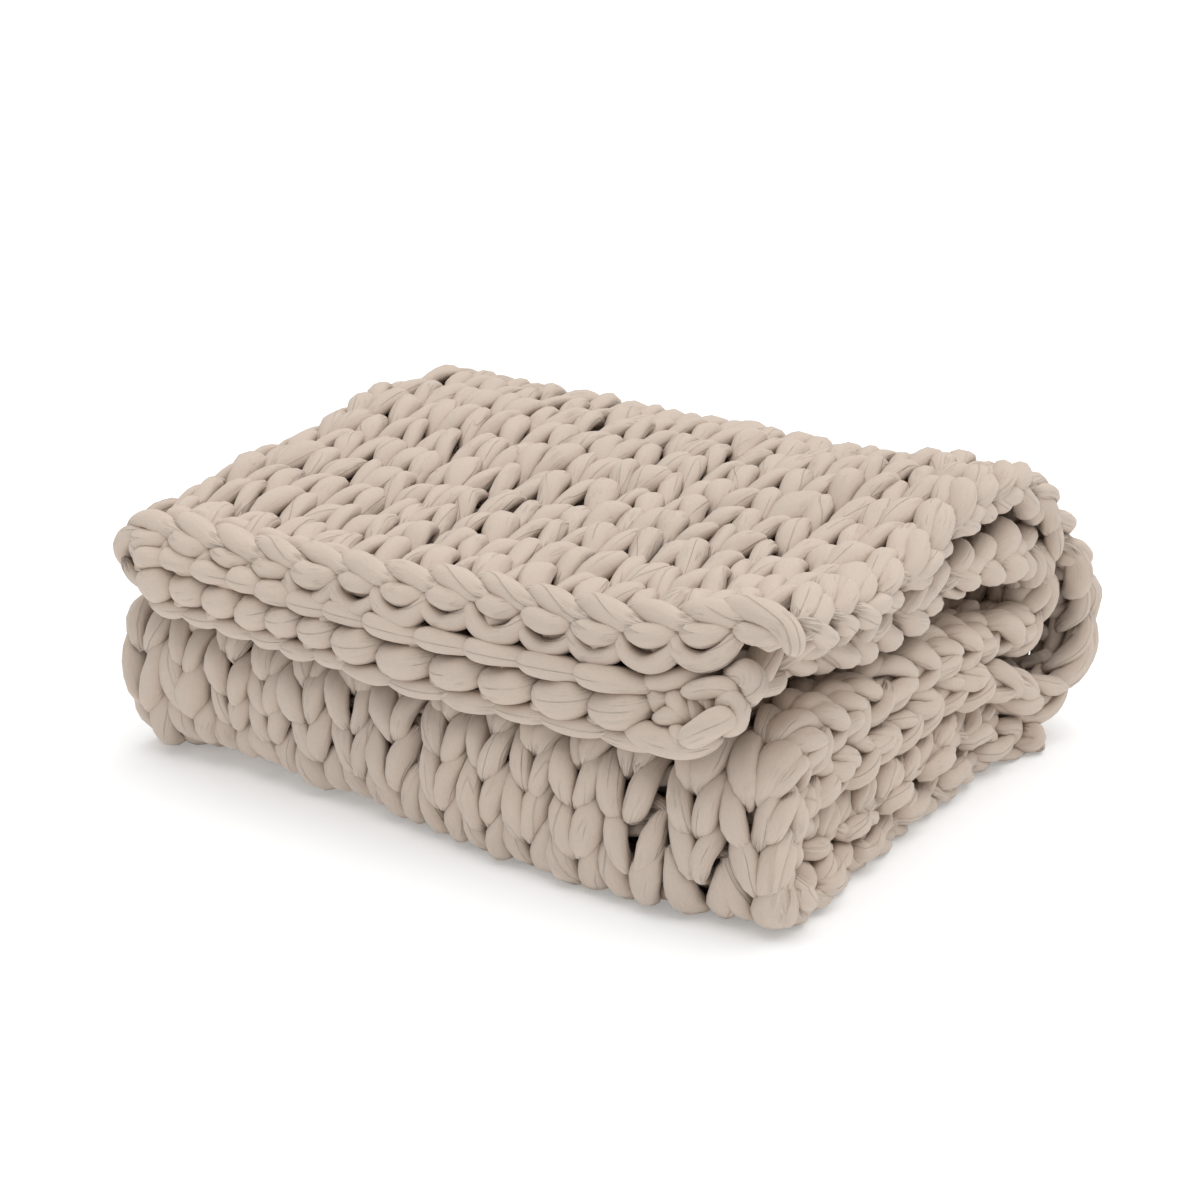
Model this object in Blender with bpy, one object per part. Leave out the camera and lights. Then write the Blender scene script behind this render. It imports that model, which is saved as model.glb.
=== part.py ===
"""A folded, chunky hand-knitted weighted blanket, as one closed solid.

The open blanket is one knitted sheet, 28 columns of stitches wide. It is folded in half across its
width, with the fold at the left, and that pair of layers is then folded in thirds from front to
back. The solid is the sheet itself: a mid-surface that follows those folds, given the thickness of
the knitting, with a rib on its outer face for each column of stitches.

Metres. X runs across the stack, Y from its front to its back, Z up. The origin is on the surface
that the stack rests on, under the middle of its box.
"""

import bpy
import numpy as np
from mathutils import Vector

# ---- The knitting -------------------------------------------------------------------------------
COLUMN = 0.045          # width of one column of stitches
COLUMNS = 28            # columns across the open blanket
RIB = 0.003             # how far a column's ridge stands above the groove beside it, each way
TIGHT = 0.84            # share of the thickness that is left where the two halves join
PINCHED = 0.70          # and inside the front fold, which is the tightest bend
ROUND_OFF = (0.45, 0.86)    # share of the thickness at a free edge, and one step in from it
EDGE_STEP = 0.30        # the columns from a side edge to that step

# ---- The folds ----------------------------------------------------------------------------------
LEFT_FOLD_X = -0.306    # mid-surface at the fold that the two layers share
FOLD_COLUMNS = 1.25     # columns on each side of that fold that have the finer steps
FOLD_LINES = 9          # lines of points across that stretch
FRONT_TO_ORIGIN = 0.2604    # the section's own Y at the origin, measured from the front fold's face
TO_LEFT = -0.0025        # the middle of the section's X, measured from the fold's own zero

# The section of the stack at its right-hand end: a row for each place along the sheet, from the
# cast-on edge, at the back under the stack, to the bind-off edge, at the front on top of it.
# "near" is the half of the sheet from the fold to the right-hand edge that lies outermost on top;
# "far" is the other half. y is measured from the front fold's face and z from the floor, both to
# the middle of the sheet's thickness. x is where that half ends at the right.
# near_rib and far_rib are 1 where that half's columns stand out and 0 where they are pressed flat.
# steps is the number of rows of faces to the next place.
SECTION_COLUMNS = (
    "near_y", "near_z", "near_x", "far_y", "far_z", "far_x", "thick", "near_rib", "far_rib", "steps")
SECTION = (
    # cast-on edge and the bottom pair
    (0.426, 0.0320, 0.300, 0.436, 0.0100, 0.318, 0.019, 0, 0, 1),
    (0.412, 0.0380, 0.301, 0.420, 0.0117, 0.314, 0.0234, 0, 0, 1),
    (0.385, 0.0462, 0.302, 0.392, 0.0142, 0.306, 0.0284, 0, 0, 1),
    (0.345, 0.0530, 0.304, 0.350, 0.0170, 0.302, 0.034, 0, 0, 1),
    (0.205, 0.0540, 0.308, 0.205, 0.0170, 0.308, 0.034, 0, 0, 2),
    # the fold at the front, low down
    (0.0720, 0.0540, 0.305, 0.062, 0.0170, 0.314, 0.034, 0, 0, 2),
    (0.0587, 0.0594, 0.303, 0.031, 0.0262, 0.316, 0.034, 0, 1, 2),
    (0.0530, 0.0730, 0.303, 0.0175, 0.0560, 0.314, 0.034, 0, 1, 1),
    (0.0548, 0.0808, 0.303, 0.0178, 0.0880, 0.310, 0.034, 0, 1, 2),
    (0.0610, 0.0885, 0.304, 0.0330, 0.1170, 0.308, 0.034, 0, 1, 2),
    # the middle pair
    (0.0720, 0.0920, 0.306, 0.0660, 0.1290, 0.308, 0.034, 0, 0, 1),
    (0.200, 0.0920, 0.304, 0.200, 0.1290, 0.300, 0.034, 0, 0, 1),
    (0.322, 0.0920, 0.306, 0.316, 0.1290, 0.296, 0.034, 0, 0, 1),
    (0.402, 0.0790, 0.308, 0.385, 0.1215, 0.298, 0.034, 0, 0, 2),
    # the fold at the back, loose and high
    (0.457, 0.0610, 0.310, 0.4220, 0.1140, 0.300, 0.034, 0, 0, 2),
    (0.5000, 0.0760, 0.312, 0.4450, 0.1210, 0.302, 0.034, 1, 0, 2),
    (0.5150, 0.1080, 0.314, 0.4540, 0.1390, 0.303, 0.034, 1, 0, 2),
    (0.4970, 0.1550, 0.315, 0.4460, 0.1590, 0.303, 0.034, 1, 0, 2),
    (0.4580, 0.2040, 0.314, 0.4170, 0.1760, 0.302, 0.035, 1, 0, 2),
    (0.4070, 0.2390, 0.311, 0.3600, 0.1840, 0.301, 0.036, 1, 0, 2),
    # the top pair and the bind-off edge
    (0.3300, 0.2440, 0.308, 0.2900, 0.1850, 0.300, 0.036, 1, 0, 2),
    (0.2000, 0.2225, 0.312, 0.1850, 0.1790, 0.298, 0.036, 1, 0, 2),
    (0.1200, 0.2125, 0.316, 0.1100, 0.1695, 0.294, 0.036, 1, 0, 1),
    (0.0600, 0.2070, 0.322, 0.0550, 0.1660, 0.288, 0.034, 1, 0, 1),
    (0.0240, 0.2040, 0.327, 0.0230, 0.1570, 0.282, 0.037, 1, 0, 1),
    (0.0060, 0.2030, 0.328, 0.0050, 0.1480, 0.280, 0.040, 1, 0, 1),
)

PINCH = (0.066, 0.073)      # y and z of the middle of the front fold's inside
PINCH_REACH = (0.016, 0.045)

# ---- How the stack departs from one even section ------------------------------------------------
TOP = 0.260             # height that the lifts below are given at
END_LIFT = 0.008        # both ends of the top, above its middle
END_FROM = 0.19         # where that lift begins, from the middle of the stack
END_TO = 0.31
CORNER_LIFT = 0.009     # the front right-hand corner of the top
CORNER_FROM = 0.22
CORNER_DEPTH = 0.10     # how far back that corner's lift reaches
FRONT_BULGE = 0.012     # the front fold comes forward here
BULGE_X = 0.17
BULGE_WIDTH = 0.13
BULGE_DEPTH = 0.16
SKEW = 0.014            # the left-hand fold leans outwards by this from front to back
DEPTH = 0.53

WOOL_BEIGE = (0.56, 0.46, 0.37, 1.0)
ROUGHNESS = 0.9


def clear_scene():
    for old in list(bpy.data.objects):
        bpy.data.objects.remove(old, do_unlink=True)


def ease(value, low, high):
    """0 below low, 1 above high, and a smooth rise between them."""
    share = np.clip((value - low) / (high - low), 0.0, 1.0)
    return share * share * (3.0 - 2.0 * share)


def smooth_through(knots, values, at):
    """A smooth curve through values at knots that never swings past them, read at each place."""
    spans, rises = np.diff(knots), np.diff(values) / np.diff(knots)
    before, after = rises[:-1], rises[1:]
    weigh_before, weigh_after = 2 * spans[1:] + spans[:-1], spans[1:] + 2 * spans[:-1]
    same_way = before * after > 0
    slopes = np.concatenate([rises[:1], np.zeros(len(before)), rises[-1:]])
    slopes[1:-1][same_way] = ((weigh_before + weigh_after)[same_way] / (
        weigh_before[same_way] / before[same_way] + weigh_after[same_way] / after[same_way]))
    left = np.clip(np.searchsorted(knots, at, side="right") - 1, 0, len(knots) - 2)
    span = knots[left + 1] - knots[left]
    t = (at - knots[left]) / span
    keep, leave = (1 + 2 * t) * (1 - t) ** 2, t * (1 - t) ** 2
    reach, arrive = t * t * (3 - 2 * t), t * t * (t - 1)
    return (keep * values[left] + leave * span * slopes[left]
            + reach * values[left + 1] + arrive * span * slopes[left + 1])


def section_rows():
    """The section's columns by name, read at every row of faces."""
    table = dict(zip(SECTION_COLUMNS, np.array(SECTION, float).T))
    near_step = np.hypot(np.diff(table["near_y"]), np.diff(table["near_z"]))
    far_step = np.hypot(np.diff(table["far_y"]), np.diff(table["far_z"]))
    knots = np.concatenate([[0.0], np.cumsum((near_step + far_step) / 2)])
    places = [knots[0]]
    for row, steps in enumerate(table["steps"][:-1].astype(int)):
        shares = np.arange(1, steps + 1) / steps
        places.extend(knots[row] + shares * (knots[row + 1] - knots[row]))
    places = np.array(places)
    rows = {name: smooth_through(knots, table[name], places) for name in SECTION_COLUMNS[:6]}
    for name in ("thick", "near_rib", "far_rib"):
        rows[name] = np.interp(places, knots, table[name])
    return rows


def column_places():
    """Where the sheet has a line of points: each ridge and groove, and finer at the fold."""
    middle = COLUMNS / 2
    ridges = np.arange(0.5, middle - FOLD_COLUMNS, 0.5)
    fold = np.linspace(middle - FOLD_COLUMNS, middle + FOLD_COLUMNS, FOLD_LINES)
    return np.concatenate([
        [0.0, EDGE_STEP], ridges, fold, COLUMNS - ridges[::-1], [COLUMNS - EDGE_STEP, COLUMNS]])


def fold_share(columns, radius):
    """Angle round the shared fold, from -90 to 90 degrees, and the columns left on a flat half."""
    half_turn = np.pi * radius / 2 / COLUMN
    from_fold = columns - COLUMNS / 2
    angle = np.clip(from_fold / half_turn, -1.0, 1.0) * np.pi / 2
    flat = np.maximum(np.abs(from_fold) - half_turn, 0.0)
    return angle, flat / (COLUMNS / 2 - half_turn)


def mid_surface(rows, columns):
    """Points of the folded sheet's mid-surface, one row for each place along the section."""
    near = np.stack([rows["near_y"], rows["near_z"]], 1)[:, None]
    far = np.stack([rows["far_y"], rows["far_z"]], 1)[:, None]
    radius = np.linalg.norm(near - far, axis=2) / 2
    angle, flat = fold_share(columns[None, :], radius)
    is_near = columns[None, :] > COLUMNS / 2
    right = np.where(is_near, rows["near_x"][:, None], rows["far_x"][:, None])
    turn_x = LEFT_FOLD_X + radius
    x = turn_x - radius * np.cos(angle) + flat * (right - turn_x)
    yz = (near + far) / 2 + (near - far) / 2 * np.sin(angle)[..., None]
    return np.concatenate([x[..., None], yz], 2)


def unit(vectors):
    return vectors / np.linalg.norm(vectors, axis=-1, keepdims=True)


def headings(surface, axis):
    """At each point, the direction halfway between the line that comes in and the one that leaves."""
    steps = np.moveaxis(unit(np.diff(surface, axis=axis)), axis, 0)
    halfway = np.concatenate([steps[:1], steps[:-1] + steps[1:], steps[-1:]])
    return np.moveaxis(halfway, 0, axis)


def face_directions(surface):
    """Unit directions out of the knit face at each point of the mid-surface."""
    return unit(np.cross(headings(surface, 0), headings(surface, 1)))


def half_thickness(rows, columns):
    """Half the sheet's thickness at each point, rounded off at its four free edges."""
    half = np.repeat(rows["thick"][:, None] / 2, len(columns), 1)
    near_fold = 1 - ease(np.abs(columns - COLUMNS / 2), 0.8, 2.2)
    half *= 1 - (1 - TIGHT) * near_fold[None, :]
    pinch = 1 - ease(np.hypot(rows["near_y"] - PINCH[0], rows["near_z"] - PINCH[1]), *PINCH_REACH)
    half *= 1 - (1 - PINCHED) * pinch[:, None] * ease(columns, COLUMNS / 2 - 1, COLUMNS / 2)[None, :]
    for edge in (0, 1):
        half[:, edge] *= ROUND_OFF[edge]
        half[:, -1 - edge] *= ROUND_OFF[edge]
        half[edge] *= ROUND_OFF[edge]
        half[-1 - edge] *= ROUND_OFF[edge]
    return half


def rib_heights(rows, columns):
    """How far the outer face stands above or below its mean at each column's ridge and groove."""
    wave = -np.cos(2 * np.pi * columns)
    level = ease(np.minimum(columns, COLUMNS - columns), 0.2, 0.6)
    is_near = columns[None, :] > COLUMNS / 2
    strength = np.where(is_near, rows["near_rib"][:, None], rows["far_rib"][:, None])
    return RIB * strength * (wave * level)[None, :]


def unevenness(points):
    """Moves points from the even section to where the uneven stack has them."""
    x, y, z = points[..., 0], points[..., 1], points[..., 2]
    height = z / TOP
    ends = ease(np.abs(x), END_FROM, END_TO)
    corner = ease(x, CORNER_FROM, END_TO) * np.exp(-(y / CORNER_DEPTH) ** 2)
    bulge = np.exp(-((x - BULGE_X) / BULGE_WIDTH) ** 2) * (1 - ease(y, 0.0, BULGE_DEPTH))
    left = ease(-x, 0.0, END_TO)
    return np.stack([
        x - SKEW * left * y / DEPTH,
        y - FRONT_BULGE * bulge * (1 - ease(z, 0.08, 0.14)),
        z + height * height * (END_LIFT * ends + CORNER_LIFT * corner)], -1)


def blanket_mesh():
    """One closed mesh: the knit face, the purl face and a strip round the sheet's edge."""
    rows, columns = section_rows(), column_places()
    middle = mid_surface(rows, columns)
    out = face_directions(middle)
    half = half_thickness(rows, columns)[..., None]
    knit_face = middle + out * (half + rib_heights(rows, columns)[..., None])
    purl_face = middle - out * half
    faces_at = np.stack([knit_face, purl_face])
    faces_at[..., 2] = np.maximum(faces_at[..., 2], 0.0)
    points = unevenness(faces_at) - (TO_LEFT, FRONT_TO_ORIGIN, 0.0)
    high, wide = middle.shape[:2]

    def number(side, row, column):
        return (side * high + row) * wide + column

    faces = []
    for row in range(high - 1):
        for column in range(wide - 1):
            corners = ((row, column), (row, column + 1), (row + 1, column + 1), (row + 1, column))
            faces.append([number(0, *corner) for corner in reversed(corners)])
            faces.append([number(1, *corner) for corner in corners])
    rim = ([(0, c) for c in range(wide - 1)] + [(r, wide - 1) for r in range(high - 1)]
           + [(high - 1, c) for c in range(wide - 1, 0, -1)] + [(r, 0) for r in range(high - 1, 0, -1)])
    for here, there in zip(rim, rim[1:] + rim[:1]):
        faces.append([number(0, *here), number(0, *there), number(1, *there), number(1, *here)])

    mesh = bpy.data.meshes.new("blanket")
    mesh.from_pydata([Vector(p) for p in points.reshape(-1, 3)], [], faces)
    mesh.update()
    mesh.shade_smooth()
    return mesh


def knit_material():
    material = bpy.data.materials.new("jersey_yarn")
    material.use_nodes = True
    shader = material.node_tree.nodes["Principled BSDF"]
    shader.inputs["Base Color"].default_value = WOOL_BEIGE
    shader.inputs["Roughness"].default_value = ROUGHNESS
    shader.inputs["Metallic"].default_value = 0.0
    material.diffuse_color = WOOL_BEIGE
    return material


def build():
    clear_scene()
    mesh = blanket_mesh()
    mesh.materials.append(knit_material())
    blanket = bpy.data.objects.new("blanket", mesh)
    bpy.context.scene.collection.objects.link(blanket)


build()
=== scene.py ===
"""Looks of the folded weighted blanket: one hand-knitted sheet of stuffed jersey tube, stitch by stitch.

Lengths are in metres unless a name says otherwise. A point of the sheet is given in fabric coordinates:
column (0 at the lower layer's side edge, 14 at the shared fold, 28 at the upper layer's side edge), course
(0 at the cast-on edge) and lift out of the knit face. The folded shape is the CAD solid's.
"""
import math

import bpy
import numpy as np
from mathutils import Matrix, Vector


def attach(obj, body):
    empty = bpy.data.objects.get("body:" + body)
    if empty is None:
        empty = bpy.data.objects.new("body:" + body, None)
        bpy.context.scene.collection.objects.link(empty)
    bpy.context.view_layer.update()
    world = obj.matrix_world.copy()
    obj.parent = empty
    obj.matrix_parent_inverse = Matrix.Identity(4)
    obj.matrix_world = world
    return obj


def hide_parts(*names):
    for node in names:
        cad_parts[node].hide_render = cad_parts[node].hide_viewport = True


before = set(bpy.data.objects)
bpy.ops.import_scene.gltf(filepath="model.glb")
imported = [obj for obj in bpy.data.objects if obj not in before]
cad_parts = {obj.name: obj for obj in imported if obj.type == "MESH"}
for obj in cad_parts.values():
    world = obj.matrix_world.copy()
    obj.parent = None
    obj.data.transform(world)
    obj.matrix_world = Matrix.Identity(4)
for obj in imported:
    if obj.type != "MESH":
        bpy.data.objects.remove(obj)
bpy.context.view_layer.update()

KNIT_SEED, EDGE_SEED, SIDE_SEED = 20, 31, 33

# ---- The camera, from the photograph ------------------------------------------------------------
CAMERA_AT = (1.0115, -1.4664, 0.7030)
CAMERA_TURN = math.radians(34.88)       # to the left of straight back
CAMERA_DIP = math.radians(17.97)
LENS_MM = 66.0
SENSOR_MM = 36.0

# ---- The stage and the light ---------------------------------------------------------------------
FLOOR_REACH = 200.0
FLOOR_COLOUR = (0.893, 0.90, 0.907, 1.0)
FLOOR_GLOW, FLOOR_GLOW_STRENGTH = (0.95, 0.985, 1.0, 1.0), 0.225
WHITE = (1.0, 1.0, 1.0, 1.0)
SKY_STRENGTH = 0.46
SUN_STRENGTH = 2.1
SUN_WIDTH = math.radians(75)            # wide, for the soft shadow of a large lamp
SUN_TURN = (math.radians(-6), math.radians(6), 0.0)

# ---- The folded sheet, as in the CAD source ------------------------------------------------------
COLUMN = 0.045                          # width of a column of stitches
COLUMNS = 28
LEFT_FOLD_X = -0.306
ORIGIN_X, ORIGIN_Y = -0.0025, 0.2604    # where the part's origin lies in the frame of this section
# From the cast-on edge to the bind-off edge: the near layer of the folded pair (the upper one, where it
# lies on top) and the far one, each with its depth, height and the x of its side edge.
LAYERS = ("near", "far")
SECTION_COLUMNS = ("near_y", "near_z", "near_x", "far_y", "far_z", "far_x")
SECTION = (
    # cast-on edge and the bottom pair
    (0.426, 0.0320, 0.300, 0.436, 0.0100, 0.318),
    (0.412, 0.0380, 0.301, 0.420, 0.0117, 0.314),
    (0.385, 0.0462, 0.302, 0.392, 0.0142, 0.306),
    (0.345, 0.0530, 0.304, 0.350, 0.0170, 0.302),
    (0.205, 0.0540, 0.308, 0.205, 0.0170, 0.308),
    # the fold at the front, low down
    (0.0720, 0.0540, 0.305, 0.062, 0.0170, 0.314),
    (0.0587, 0.0594, 0.303, 0.031, 0.0262, 0.316),
    (0.0530, 0.0730, 0.303, 0.0175, 0.0560, 0.314),
    (0.0548, 0.0808, 0.303, 0.0178, 0.0880, 0.310),
    (0.0610, 0.0885, 0.304, 0.0330, 0.1170, 0.308),
    # the middle pair
    (0.0720, 0.0920, 0.306, 0.0660, 0.1290, 0.308),
    (0.200, 0.0920, 0.304, 0.200, 0.1290, 0.300),
    (0.322, 0.0920, 0.306, 0.316, 0.1290, 0.296),
    (0.402, 0.0790, 0.308, 0.385, 0.1215, 0.298),
    # the fold at the back, loose and high
    (0.457, 0.0610, 0.310, 0.4220, 0.1140, 0.300),
    (0.5000, 0.0760, 0.312, 0.4450, 0.1210, 0.302),
    (0.5150, 0.1080, 0.314, 0.4540, 0.1390, 0.303),
    (0.4970, 0.1550, 0.315, 0.4460, 0.1590, 0.303),
    (0.4580, 0.2040, 0.314, 0.4170, 0.1760, 0.302),
    (0.4070, 0.2390, 0.311, 0.3600, 0.1840, 0.301),
    # the top pair and the bind-off edge
    (0.3300, 0.2440, 0.308, 0.2900, 0.1850, 0.300),
    (0.2000, 0.2225, 0.312, 0.1850, 0.1790, 0.298),
    (0.1200, 0.2125, 0.316, 0.1100, 0.1695, 0.294),
    (0.0600, 0.2070, 0.322, 0.0550, 0.1660, 0.288),
    (0.0240, 0.2040, 0.327, 0.0230, 0.1570, 0.282),
    (0.0060, 0.2030, 0.328, 0.0050, 0.1480, 0.280),
)
# The uneven stack: its ends and its front right corner stand higher, the more so higher up; the foot of the
# front bulges on the right; and the left end leans to the right towards the back.
TOP = 0.260
END_LIFT, END_FROM, END_TO = 0.008, 0.19, 0.31
CORNER_LIFT, CORNER_FROM, CORNER_DEPTH = 0.009, 0.22, 0.10
FRONT_BULGE, BULGE_X, BULGE_WIDTH, BULGE_DEPTH = 0.012, 0.17, 0.13, 0.16
BULGE_FULL_BELOW, BULGE_GONE_ABOVE = 0.08, 0.14
SKEW, DEPTH = 0.014, 0.53

# ---- How the courses of knitting lie along the section -------------------------------------------
COURSES = 39
LAST_HEADS = COURSES + 0.5              # the level of the last heads, where the bind-off edge starts
KNIT_PIECES = 6                         # meshes that the one long yarn is split into
# Section row, and how far apart the courses are there on the upper (near) and lower (far) layer, in mm.
COURSE_PITCHES = ((0, 36, 38), (4, 36, 38), (6, 20, 29), (9, 20, 30), (11, 40, 38), (13, 42, 36),
                  (16, 46, 32), (19, 40, 38), (25, 40, 38))
BLEND_COLUMNS = (10.5, 17.5)            # across these the lower layer's spacing turns into the upper one's
LOOSE_PITCH = 0.040                     # courses this far apart have straight-legged stitches
TIGHT_PITCH = 0.029                     # and these have stitches with plump, leaning legs
PAST_TIGHT = 0.2                        # how much further a stitch may go that way than the tight one
# Courses closer than this have thinner yarn, and the share of its size that it keeps.
SQUEEZED_PITCH, MOST_SQUEEZED = 0.024, 0.68

# ---- One stitch ----------------------------------------------------------------------------------
# From the middle of the yarn behind the stitch's left side to the middle of its head, and back down the
# other side in mirror image: columns from the stitch's middle, courses from the stitch's level, lift out of
# the knit face, half the yarn's width and thickness in mm, and how far the section is turned, in degrees.
STITCH_LOOSE = (
    (-0.50, -0.44, -9.0, 8.8, 8.8, 0.0),
    (-0.28, -0.52, -6.5, 7.0, 7.0, 0.0),
    (-0.15, -0.50, 1.0, 5.5, 5.5, 0.0),
    (-0.15, -0.32, 8.5, 8.5, 6.5, 6.0),
    (-0.19, 0.00, 11.0, 11.0, 7.5, 12.0),
    (-0.27, 0.34, 8.5, 10.5, 7.0, 14.0),
    (-0.34, 0.68, 3.0, 7.5, 6.0, 10.0),
    (-0.33, 0.90, -5.0, 6.0, 6.5, 0.0),
    (0.00, 1.02, -9.5, 8.5, 8.8, 0.0),
)
STITCH_TIGHT = (
    (-0.50, -0.46, -9.0, 8.0, 8.0, 0.0),
    (-0.24, -0.62, -5.0, 6.5, 7.0, 0.0),
    (-0.10, -0.62, 4.5, 5.0, 6.0, 5.0),
    (-0.13, -0.40, 10.5, 10.0, 8.5, 14.0),
    (-0.21, -0.04, 11.5, 13.0, 10.0, 18.0),
    (-0.29, 0.32, 8.5, 12.5, 10.0, 18.0),
    (-0.37, 0.68, 3.0, 9.0, 7.5, 12.0),
    (-0.41, 0.92, -4.0, 6.5, 7.0, 0.0),
    (0.00, 1.04, -9.5, 8.0, 8.5, 0.0),
)
LEG_ROW, LEG_ROWS, HEAD_ROWS = 4, 1.7, 1.2      # the middle of a leg, and how far a leg and a head reach
HALF_STEPS = (1, 2, 2, 2, 2, 2, 2, 1)   # rings of points from each row of those tables to the next
# The yarn's turn at a side edge: columns past the edge, courses from the old course's level, then as above.
EDGE_TURN = (
    (0.10, -0.10, -7.0, 8.5, 8.0),
    (0.12, 0.16, -6.0, 9.0, 8.5),
    (0.08, 0.40, -7.0, 8.0, 8.0),
)
EDGE_TURN_STEPS = 2
YARN_END_MM = 2.0                       # half the size of the long yarn's two closed ends
SIDES = 12                              # points round the yarn
MEAN_RADIUS = 0.009                     # of the yarn, for the patterns that run round it
# What each stitch may differ by from its neighbours (standard deviations): columns, courses, mm, share of
# the size, degrees and share of the outline. A head may slide and rise by itself.
SWAY, SLIDE, RISE, SIZE, LEAN, OUTLINE = 0.06, 0.09, 1.7, 0.13, 9.0, 0.06
HEAD_SLIDE, HEAD_RISE = 0.06, 1.0
WHOLE_SHARE = 0.6                       # of the slide for a whole stitch, and of the sway for each leg
THICK_SHARE = 0.7                       # how much of a leg's change in width its thickness has
MOST_STITCH = 1.8                       # the largest difference, in standard deviations
OUTLINE_TERMS = 4                       # how many numbers make a section uneven
# A single piece of yarn: the same for its outline, the rings from row to row, and its rounded tips.
LOOSE_OUTLINE, MOST_LOOSE = 0.035, 2.0
LOOSE_STEPS, SIDE_STEPS, CORE_STEPS = 4, 3, 2
TIP_MM, LEAST_TIP = 6.0, 0.03
# Where a piece runs this steeply in or out of the sheet, its section follows its own line.
STEEP, LEVEL = 0.25, 0.6

# ---- The jersey ----------------------------------------------------------------------------------
COLOUR_WARM = (0.660, 0.551, 0.463, 1.0)
COLOUR_COOL = (0.632, 0.530, 0.448, 1.0)
# The dark colour: painted shade in creases, lines, hollows and the seam's groove, and the grain's own darker
# flecks.
COLOUR_SHADE_AND_GRAIN = (0.270, 0.185, 0.125, 1.0)
SPECULAR, SHEEN, SHEEN_ROUGHNESS = 0.25, 0.12, 0.6
ROUGHNESS = (0.84, 0.95)
# Each pattern's repeats in a metre, twice round the yarn and once along it, then the noise's detail,
# roughness and distortion.
FOLD_NOISE = ((150.0, 150.0, 28.0), 1.5, 0.5, 0.4)
CREASE_NOISE = ((210.0, 210.0, 20.0), 2.0, 0.6, 0.6)
LINE_NOISE = ((64.0, 64.0, 5.5), 0.0, 0.5, 0.1)
GRAIN_NOISE = ((1500.0, 1500.0, 350.0), 1.0, 0.5, 0.0)
GRAIN_DARK, GRAIN_ROUGH = (0.3, 0.7), (0.2, 0.8)    # between these the grain darkens and roughens the yarn
NOISE_MIDDLE = 0.5
# Height in mm, and the share of the dark colour: painted shade in creases, lines and hollows, the seam's own
# darker line with painted shade in its groove, and the grain's own darker flecks.
BUMP_UNIT = 0.001
FOLD_DEPTH, CREASE_DEPTH, LINE_DEPTH, SEAM_DEPTH, GRAIN_DEPTH = 2.4, 0.80, 0.5, 0.50, 0.12
CREASE_SHADE_SHARE, LINE_SHADE_SHARE, SEAM_LINE_AND_SHADE_SHARE, GRAIN_SHARE = 0.28, 0.15, 0.20, 0.07
HOLLOW_SHADE_SHARE, MOST_SHARE = 0.58, 0.8
# A mark is full within the first of these of its middle line and gone at the second.
CREASE_WIDTH, LINE_WIDTH, SEAM_WIDTH = (0.0, 0.03), (0.002, 0.012), (0.03, 0.09)
# Marks come and go over the blanket: changes in a metre, the noise where they start and where they are full.
CREASE_PLACES, LINE_PLACES, SEAM_PLACES = (38.0, 0.52, 0.66), (21.0, 0.44, 0.54), (9.0, 0.48, 0.56)
LOOSE_CREASES = 0.3                     # how strong the creases are at most where the yarn isn't pinched
CREASED_FROM, CREASED_TO = 0.05, 0.75   # between these pinches they grow to full
FOLDED_TO, LEAST_FOLD = 0.8, 0.35       # and the folds up to this one, from this share
SEAM_WAVE, SEAM_SWING = 17.0, 2.6       # how it wanders round the yarn: radians a metre, radians each way
BLOTCHES, BLOTCH_DETAIL = (7.0, 0.3, 0.7), 3.0
# Painted shade in hollows: ambient occlusion this far out darkens the colour where the yarn is hemmed in.
HOLLOW_REACH, HOLLOW_SAMPLES = 0.009, 6
HOLLOW_DARK, HOLLOW_OPEN = 0.2, 0.8     # from full to none: the light that a hollow gets
PINCHED_MM = (5.0, 8.6)                 # from fully pinched to not at all: half the yarn's size
PINCHED_SHARE = (0.45, 0.92)            # and for a short piece, that size as a share of its largest

# ---- The side edges ------------------------------------------------------------------------------
# At each side edge, one of these for each course: columns out from the edge, courses from the course's
# level, then as above.
SELVEDGE = (
    (-0.40, -0.46, -4.0, 3.0, 3.0, 0.0),
    (-0.27, -0.34, 6.0, 6.5, 6.0, 0.0),
    (-0.08, -0.06, 9.5, 10.0, 7.5, 0.0),
    (0.04, 0.26, 5.5, 10.5, 8.0, 0.0),
    (0.06, 0.56, -1.0, 8.5, 7.5, 0.0),
    (-0.04, 0.82, -6.0, 5.5, 5.5, 0.0),
    (-0.22, 0.98, -9.5, 3.0, 3.0, 0.0),
)
SELVEDGE_BACK = (
    (-0.44, -0.40, -9.0, 3.0, 3.0, 0.0),
    (-0.28, -0.30, -15.0, 6.5, 6.0, 0.0),
    (-0.06, 0.00, -17.0, 10.0, 7.5, 0.0),
    (0.04, 0.32, -13.0, 10.0, 8.0, 0.0),
    (0.04, 0.62, -6.0, 7.5, 7.0, 0.0),
    (-0.06, 0.86, -1.0, 4.5, 4.5, 0.0),
    (-0.20, 0.98, 1.0, 2.5, 2.5, 0.0),
)
TOP_COURSE = 27                         # from here the lower layer's edge hangs free in the top pair
HANGING_SIZE = 1.2                      # and its loops are larger
# Columns out, lift and half sizes of the yarn that fills the edge behind the loops.
SELVEDGE_CORES = ((-0.14, -3.5, 8.0, 9.0), (-0.5, -5.0, 8.0, 8.0))
# How many columns the edge lies further in, by course.
SELVEDGE_IN = ((0.0, 0.14), (10.0, 0.14), (16.0, 0.0))
# What its loops differ by: columns, courses, mm, share of the size, share of the rise and the most of it.
SIDE_SWAY, SIDE_SLIDE, SIDE_RISE, SIDE_SIZE, SIDE_SLANT, MOST_SLANT = 0.05, 0.09, 1.5, 0.12, 0.25, 1.2
CORE_SIZE, MOST_CORE = 0.1, 1.5
CORE_LEVELS = np.arange(0.9, COURSES - 1.5, 0.5)

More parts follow.
